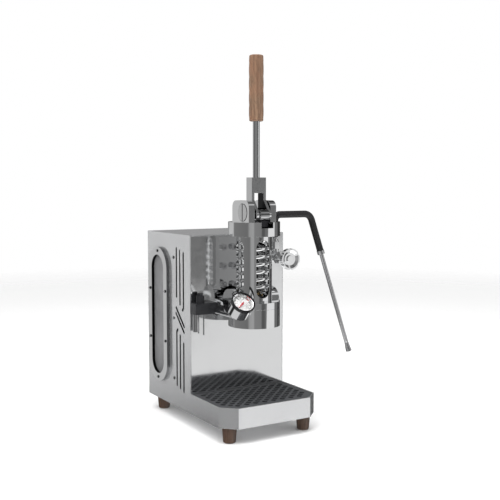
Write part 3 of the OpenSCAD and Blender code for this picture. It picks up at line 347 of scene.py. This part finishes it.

# painted shade: the cut edges inside the side panels' vents and window are painted black
side = brushed("side_steel", **CASE_SHEET)
spot, toward = side.add("ShaderNodeSeparateXYZ"), side.add("ShaderNodeSeparateXYZ")
side.link(side.coord, spot.inputs[0])
side.link(side.add("ShaderNodeNewGeometry").outputs["True Normal"], toward.inputs[0])
MARGIN = 8 * MM
panel_high = Vector(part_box("left_side_panel")[1])
inner_z = side.math("MULTIPLY", side.math("GREATER_THAN", spot.outputs[2], ring_low.z - MARGIN),
                    side.math("LESS_THAN", spot.outputs[2], panel_high.z - MARGIN))
inner_y = side.math("MULTIPLY", side.math("GREATER_THAN", spot.outputs[1], MARGIN),
                    side.math("LESS_THAN", spot.outputs[1], panel_high.y - MARGIN))
shaded_cut_edge = side.math("LESS_THAN", side.math("ABSOLUTE", toward.outputs[0]), 0.5)
masked(side, side.math("MULTIPLY", shaded_cut_edge, side.math("MULTIPLY", inner_y, inner_z)), (0.01, 0.01, 0.01))

# the dial has a ring of ticks and a red stretch
GAUGE_TILT, GAUGE_TURN = 44.0, -4.0
dial_mid = middle("gauge_dial")
dial_turn = (Matrix.Rotation(math.radians(GAUGE_TURN), 4, "Z")
             @ Matrix.Rotation(math.radians(90 - GAUGE_TILT), 4, "X"))
dial_frame = Matrix.Translation(dial_mid) @ dial_turn
dial = MATS["dial_white"]
local = dial.add("ShaderNodeMapping", vector_type="TEXTURE")
local.inputs["Location"].default_value = dial_mid
local.inputs["Rotation"].default_value = dial_turn.to_euler("XYZ")
dial.link(dial.coord, local.inputs["Vector"])
flat = dial.add("ShaderNodeSeparateXYZ")
dial.link(local.outputs[0], flat.inputs[0])
reach = dial.math("SQRT", dial.math("ADD", dial.math("POWER", flat.outputs[0], 2.0),
                                    dial.math("POWER", flat.outputs[1], 2.0)))
turn = dial.math("DEGREES", dial.math("ARCTAN2", flat.outputs[1], flat.outputs[0]))


def between(value, low_end, high_end):
    above, below = dial.math("GREATER_THAN", value, low_end), dial.math("LESS_THAN", value, high_end)
    return dial.math("MULTIPLY", above, below)


# the scale leaves the bottom of the dial free, and every fourth tick is long; angles in degrees,
# counted against the clock from the dial's right
GAP_START, GAP_END = -134.0, -46.0
SCALE_START, FINE, COARSE = 225.0, 6.75, 27.0
RED_START, RED_END = 22.0, 48.0
INK = (0.02, 0.02, 0.022)
on_scale = dial.math("SUBTRACT", 1.0, between(turn, GAP_START, GAP_END))


def ticks(step, width, inner, outer):
    beat = dial.math("PINGPONG", dial.math("SUBTRACT", turn, SCALE_START % step), step / 2)
    return dial.math("MULTIPLY", dial.math("LESS_THAN", beat, width), between(reach, inner * MM, outer * MM))


scale_ink = dial.math("MULTIPLY", on_scale, dial.math("MAXIMUM", ticks(FINE, 0.9, 12.4, 14.2),
                                                      ticks(COARSE, 1.9, 10.9, 14.4)))
ring_ink = dial.math("MULTIPLY", on_scale, between(reach, 14.2 * MM, 14.5 * MM))
red = dial.math("MULTIPLY", between(turn, RED_START, RED_END), between(reach, 12.9 * MM, 14.2 * MM))
paper = dial.p.inputs["Base Color"].links[0].from_socket
inked = dial.mix(dial.math("MAXIMUM", scale_ink, ring_ink), paper, INK)
dial.color(dial.mix(red, inked, (0.6, 0.03, 0.03)))

OWN = {"left_window_ring": ring, "right_window_ring": ring, "lever_fork": fork, "pivot_pin": pin_steel,
       "left_panel_screws": side_screw, "right_panel_screws": side_screw, "cam_roller": roller_steel,
       "left_side_panel": side, "right_side_panel": side}
for node, obj in frame["nodes"].items():
    mesh = obj.data
    mesh.materials.clear()
    mesh.materials.append(OWN.get(node, MATS[SLOT_OF[node]]).m)


# ---------- detailed pieces ----------

def add_mesh(name, verts, faces, slot, body, *nodes):
    """A smooth piece on a body, with a record slot's material, in place of the given CAD nodes."""
    mesh = bpy.data.meshes.new(name)
    mesh.from_pydata([tuple(v) for v in verts], [], faces)
    mesh.validate()
    mesh.polygons.foreach_set("use_smooth", [True] * len(mesh.polygons))
    piece = bpy.data.objects.new(name, mesh)
    scene.collection.objects.link(piece)
    mesh.materials.append(MATS[slot].m)
    mesh.update()
    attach(piece, body)
    if nodes:
        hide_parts(*nodes)
    return piece


def skin(rings):
    """Points and faces of a tube with closed ends through rings of points, all of one length."""
    count = len(rings[0])
    verts = [v for one in rings for v in one]
    faces = []
    for i in range(len(rings) - 1):
        for k in range(count):
            n = (k + 1) % count
            faces.append((i * count + k, i * count + n, (i + 1) * count + n, (i + 1) * count + k))
    faces.append(tuple(reversed(range(count))))
    faces.append(tuple((len(rings) - 1) * count + k for k in range(count)))
    return verts, faces


def tube(path, sides=28):
    """Round tube along a list of (point, radius), with its rings square to the path."""
    rings = []
    normal = None
    for i, (point, radius) in enumerate(path):
        before, after = path[max(i - 1, 0)][0], path[min(i + 1, len(path) - 1)][0]
        tangent = (after - before).normalized()
        if normal is None:
            normal = tangent.orthogonal().normalized()
        normal = (normal - tangent * normal.dot(tangent)).normalized()
        side = tangent.cross(normal)
        rings.append([point + (normal * math.cos(t) + side * math.sin(t)) * radius
                      for t in (2 * math.pi * k / sides for k in range(sides))])
    return skin(rings)


# twisted walnut grip: eight rounded flutes between two plain turned ends
GRIP_LOBES, GRIP_TWIST, GRIP_SINK, GRIP_COLLAR = 8, -213.0, 0.9 * MM, 3.2 * MM
grip_low, grip_high = (Vector(c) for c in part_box("lever_grip"))
grip_mid = (grip_low + grip_high) / 2
grip_r = (grip_high.x - grip_low.x) / 2
grip_len = grip_high.z - grip_low.z
rings = []
STEPS, SIDES, ROUND, FLUTE_RUN, END_SINK = 220, 144, 2.2 * MM, 6 * MM, 0.5 * MM
for i in range(STEPS + 1):
    along = grip_len * i / STEPS
    end = min(along, grip_len - along)
    fluted = min(max((end - GRIP_COLLAR) / FLUTE_RUN, 0), 1)
    fluted = fluted * fluted * (3 - 2 * fluted)
    drop = ROUND - math.sqrt(max(ROUND ** 2 - max(ROUND - end, 0) ** 2, 0))
    twist = math.radians(GRIP_TWIST) * along / grip_len
    one = []
    for k in range(SIDES):
        a = 2 * math.pi * k / SIDES
        lobe = 1 - abs(math.cos(GRIP_LOBES / 2 * (a - twist))) ** 0.8
        radius = grip_r - drop - GRIP_SINK * fluted * lobe - END_SINK * (1 - fluted)
        one.append(Vector((grip_mid.x + radius * math.cos(a), grip_mid.y + radius * math.sin(a),
                           grip_low.z + along)))
    rings.append(one)
add_mesh("grip_fluted", *skin(rings), "grip_walnut", "lever", "lever_grip")

# main spring: a fine helix
spring_low, spring_high = (Vector(c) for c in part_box("main_spring"))
spring_mid = (spring_low + spring_high) / 2
WIRE, TURNS, SPRING_FIXED = 3.2 * MM, 6.6, 0.225
coil_r = (spring_high.x - spring_low.x) / 2 - WIRE
start_z, end_z = spring_low.z + WIRE, spring_high.z - WIRE
path = []
PER_TURN = 48
for i in range(int(TURNS * PER_TURN) + 1):
    t = i / PER_TURN
    a = 2 * math.pi * t
    z = start_z + (end_z - start_z) * min(t / TURNS, 1)
    path.append((Vector((spring_mid.x + coil_r * math.cos(a), spring_mid.y + coil_r * math.sin(a), z)), WIRE))
spring = add_mesh("spring_coil", *tube(path, 24), "spring_steel", "case", "main_spring")
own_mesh(spring)

# plain numbers round the dial, in the dial's own plane
NUMBER_R, NUMBER_SIZE, NUMBER_T = 8.9 * MM, 3.1 * MM, 0.03 * MM
DIAL_T, LIFT = 1.5 * MM, 0.02 * MM
dial_face = DIAL_T / 2 + LIFT
for step, label in enumerate(("0", "4", "8", "12", "16", "20")):
    angle = math.radians(SCALE_START - 2 * COARSE * step)
    font = bpy.data.curves.new("number_" + label, "FONT")
    font.body, font.size, font.extrude = label, NUMBER_SIZE, NUMBER_T
    font.align_x, font.align_y = "CENTER", "CENTER"
    number = bpy.data.objects.new("number_" + label, font)
    scene.collection.objects.link(number)
    place_at = Vector((NUMBER_R * math.cos(angle), NUMBER_R * math.sin(angle), dial_face))
    number.matrix_world = dial_frame @ Matrix.Translation(place_at)
    font.materials.append(MATS["gauge_black"].m)
    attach(number, "case")

# steam wand: one smooth bent tube and its rubber sleeve
WAND_R, SLEEVE_R, BEND_LOW, BEND_HIGH = 3.5 * MM, 5.9 * MM, 10 * MM, 16 * MM
WAND_REACH, WAND_LEG, WAND_SLOPE = 72 * MM, 264 * MM, math.radians(19.4)
wand_low, wand_high = (Vector(c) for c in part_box("wand_tube"))
HAIR = 0.1 * MM
root = Vector((wand_low.x + WAND_R + HAIR, (wand_low.y + wand_high.y) / 2, 0))
level_z = wand_high.z - WAND_R - HAIR
down = Vector((math.sin(WAND_SLOPE), 0, -math.cos(WAND_SLOPE)))
wand_turn = math.pi / 2 - WAND_SLOPE
setback = BEND_HIGH * math.tan(wand_turn / 2)
corner = root + Vector((WAND_REACH, 0, level_z))
RISE_STEPS, BEND_STEPS, LEG_STEPS = 24, 16, 60


def wand_route(low_z, leg_end):
    """Points of the wand's route from a height on the riser to a distance along the leg."""
    points = []
    rise = level_z - BEND_LOW - low_z
    points += [root + Vector((0, 0, low_z + rise * i / RISE_STEPS)) for i in range(RISE_STEPS)]
    for i in range(BEND_STEPS + 1):
        a = math.pi / 2 * i / BEND_STEPS
        points.append(root + Vector((BEND_LOW * (1 - math.cos(a)), 0,
                                     level_z - BEND_LOW + BEND_LOW * math.sin(a))))
    run = WAND_REACH - BEND_LOW - setback
    points += [root + Vector((BEND_LOW + run * i / BEND_STEPS, 0, level_z)) for i in range(1, BEND_STEPS)]
    for i in range(BEND_STEPS + 1):
        a = wand_turn * i / BEND_STEPS
        points.append(root + Vector((WAND_REACH - setback + BEND_HIGH * math.sin(a), 0,
                                     level_z - BEND_HIGH * (1 - math.cos(a)))))
    length = leg_end - setback
    points += [corner + down * (setback + length * i / LEG_STEPS) for i in range(1, LEG_STEPS + 1)]
    return points


def travelled(points):
    """Distance along the route at each of its points."""
    total, out = 0.0, [0.0]
    for a, b in zip(points, points[1:]):
        total += (b - a).length
        out.append(total)
    return out


nut_low, nut_high = (Vector(c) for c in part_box("valve_nut"))
TUBE_SINK, TIP_LEN, SLEEVE_GAP, SLEEVE_END = 5 * MM, 16 * MM, 3.6 * MM, 68 * MM
LIP_DROP, LIP_RUN = 0.5 * MM, 1.2 * MM
tube_points = wand_route(nut_low.z - TUBE_SINK, WAND_LEG - TIP_LEN)
add_mesh("wand_smooth", *tube([(p, WAND_R) for p in tube_points]), "pipe_steel", "wand", "wand_tube")
sleeve_points = wand_route(nut_high.z + SLEEVE_GAP, SLEEVE_END)
far = travelled(sleeve_points)
sleeve_path = []
for p, d in zip(sleeve_points, far):
    end = min(d, far[-1] - d)
    lip = LIP_DROP * max(0.0, 1 - end / LIP_RUN)
    sleeve_path.append((p, SLEEVE_R - lip))
add_mesh("wand_rubber", *tube(sleeve_path, 32), "black_rubber", "wand", "wand_sleeve")


# ---------- camera, light and floor ----------

CAMERA_AT = Vector((-0.69906, -1.20171, 0.40529))
CAMERA_AZIMUTH, CAMERA_TILT = -31.02, 4.646
cam_data = bpy.data.cameras.new("camera")
cam_data.sensor_width, cam_data.lens = 36.0, 60.04
cam_data.clip_start, cam_data.clip_end = 0.01, 60.0
cam = bpy.data.objects.new("camera", cam_data)
cam.location = CAMERA_AT
cam.rotation_euler = (math.radians(90 - CAMERA_TILT), 0, math.radians(CAMERA_AZIMUTH))
scene.collection.objects.link(cam)
scene.camera = cam
scene.view_settings.view_transform = "Standard"
scene.view_settings.look = "None"

# Studio round the object, by azimuth: where the camera would stand, in degrees, and how bright it is.
# From behind on the left: a lit wall, a grey one, a softer light, a grey front with a dark gap, a
# grey wall on the right, a black one past it, and a lighter back.
STUDIO = [(-180, 0.4), (-170, 0.66), (-137, 0.66), (-129, 0.24), (-60, 0.2), (-50, 0.42), (-34, 0.46),
          (-28, 0.28), (0, 0.26), (4, 0.13), (15, 0.12), (20, 0.2), (92, 0.19), (99, 0.05), (134, 0.05),
          (149, 0.3)]
PANEL_EDGE, PANEL_SLANT, PANEL_END, PANEL_LEVEL = 34.0, 1.2, 68.0, 0.98
world = bpy.data.worlds.new("studio")
scene.world = world
world.use_nodes = True
wt = world.node_tree
wt.nodes.clear()


def wnode(kind, **props):
    n = wt.nodes.new(kind)
    for k, v in props.items():
        setattr(n, k, v)
    return n


def wput(n, index, v):
    if isinstance(v, (int, float)):
        n.inputs[index].default_value = v
    else:
        wt.links.new(v, n.inputs[index])


def wmath(op, *values):
    n = wnode("ShaderNodeMath", operation=op)
    for i, v in enumerate(values):
        wput(n, i, v)
    return n.outputs[0]


def wstep(value, low, high, to_low=0.0, to_high=1.0):
    n = wnode("ShaderNodeMapRange", interpolation_type="SMOOTHSTEP")
    for i, v in enumerate((value, low, high, to_low, to_high)):
        wput(n, i, v)
    return n.outputs["Result"]


direction = wnode("ShaderNodeSeparateXYZ")
wt.links.new(wnode("ShaderNodeTexCoord").outputs["Generated"], direction.inputs[0])
dx, dy, dz = direction.outputs
azimuth = wmath("DEGREES", wmath("ARCTAN2", dx, wmath("MULTIPLY", dy, -1.0)))
elevation = wmath("DEGREES", wmath("ARCSINE", dz))
ramp = wnode("ShaderNodeValToRGB")
items = ramp.color_ramp.elements
while len(items) < len(STUDIO):
    items.new(0.5)
for item, (degrees, value) in zip(items, STUDIO):
    item.position = degrees / 360 + 0.5
    item.color = (value, value, value, 1)
wt.links.new(wmath("MULTIPLY_ADD", azimuth, 1 / 360, 0.5), ramp.inputs["Fac"])
# the walls darken towards the ground on the left and behind
ground = wmath("MAXIMUM", wstep(elevation, -16.2, -13.0, 0.05, 1.0), wstep(azimuth, -110.0, -95.0))
walls = wmath("MULTIPLY", ramp.outputs["Color"], ground)
# one bright panel to the right of the front, wider at its foot
edge = wmath("MULTIPLY_ADD", wmath("MINIMUM", wmath("ADD", elevation, 3.0), 4.0), PANEL_SLANT, PANEL_EDGE)
past = wmath("SUBTRACT", azimuth, edge)
panel = wmath("MULTIPLY", wstep(past, -2.0, 2.0), wstep(azimuth, PANEL_END, PANEL_END + 6, 1.0, 0.0))
panel = wmath("MULTIPLY", panel, wstep(elevation, 38.0, 50.0, 1.0, 0.0))
lit = wmath("ADD", wmath("MULTIPLY", walls, wmath("SUBTRACT", 1.0, panel)),
            wmath("MULTIPLY", panel, PANEL_LEVEL))
# light from straight above, and from the pale floor below
overhead = wmath("ADD", wstep(elevation, 58.0, 66.0, 0.0, 0.55), wstep(elevation, -34.0, -28.0, 0.8, 0.0))
studio = wnode("ShaderNodeBackground")
wt.links.new(wmath("ADD", lit, overhead), studio.inputs["Strength"])
plain = wnode("ShaderNodeBackground")
plain.inputs["Color"].default_value = (1, 1, 1, 1)
seen = wnode("ShaderNodeMixShader")
wt.links.new(wnode("ShaderNodeLightPath").outputs["Is Camera Ray"], seen.inputs["Fac"])
wt.links.new(studio.outputs[0], seen.inputs[1])
wt.links.new(plain.outputs[0], seen.inputs[2])
wt.links.new(seen.outputs[0], wnode("ShaderNodeOutputWorld").inputs["Surface"])


def softbox(name, azimuth, elevation, distance, size, power):
    """Area light that looks at the middle of the object."""
    data = bpy.data.lights.new(name, "AREA")
    data.shape, data.size, data.energy = "SQUARE", size, power
    light = bpy.data.objects.new(name, data)
    a, e = math.radians(azimuth), math.radians(elevation)
    away = Vector((math.sin(a) * math.cos(e), -math.cos(a) * math.cos(e), math.sin(e)))
    light.location = Vector((0, 0, 0.25)) + away * distance
    light.rotation_euler = away.to_track_quat("Z", "Y").to_euler()
    light.visible_glossy = False
    scene.collection.objects.link(light)


softbox("key_light", -70, 48, 2.2, 1.6, 39)
softbox("fill_light", 40, 40, 2.4, 1.8, 20)
softbox("top_light", 0, 88, 2.4, 2.2, 54)

floor_mesh = bpy.data.meshes.new("floor")
bm = bmesh.new()
bmesh.ops.create_circle(bm, cap_ends=True, segments=96, radius=9.0)
bm.to_mesh(floor_mesh)
bm.free()
floor = bpy.data.objects.new("floor", floor_mesh)
scene.collection.objects.link(floor)
fm = Mat("floor_paper", (0.95, 0.95, 0.95), 0.0, 0.75, Specular_IOR_Level=0.15)
fm.color(fm.mix(fm.span(fm.noise(420.0, 4, 0.6), 0, 1), (0.94, 0.94, 0.94), (0.96, 0.96, 0.96)))
distance = fm.add("ShaderNodeVectorMath", operation="LENGTH")
fm.link(fm.coord, distance.inputs[0])
fade = fm.span(distance.outputs["Value"], 0.0, 1.0, (0.75, 2.6))
clear = fm.add("ShaderNodeBsdfTransparent")
blend = fm.add("ShaderNodeMixShader")
fm.link(fade, blend.inputs["Fac"])
fm.link(fm.p.outputs[0], blend.inputs[1])
fm.link(clear.outputs[0], blend.inputs[2])
fm.link(blend.outputs[0], fm.out.inputs["Surface"])
floor_mesh.materials.append(fm.m)
floor.visible_glossy = False
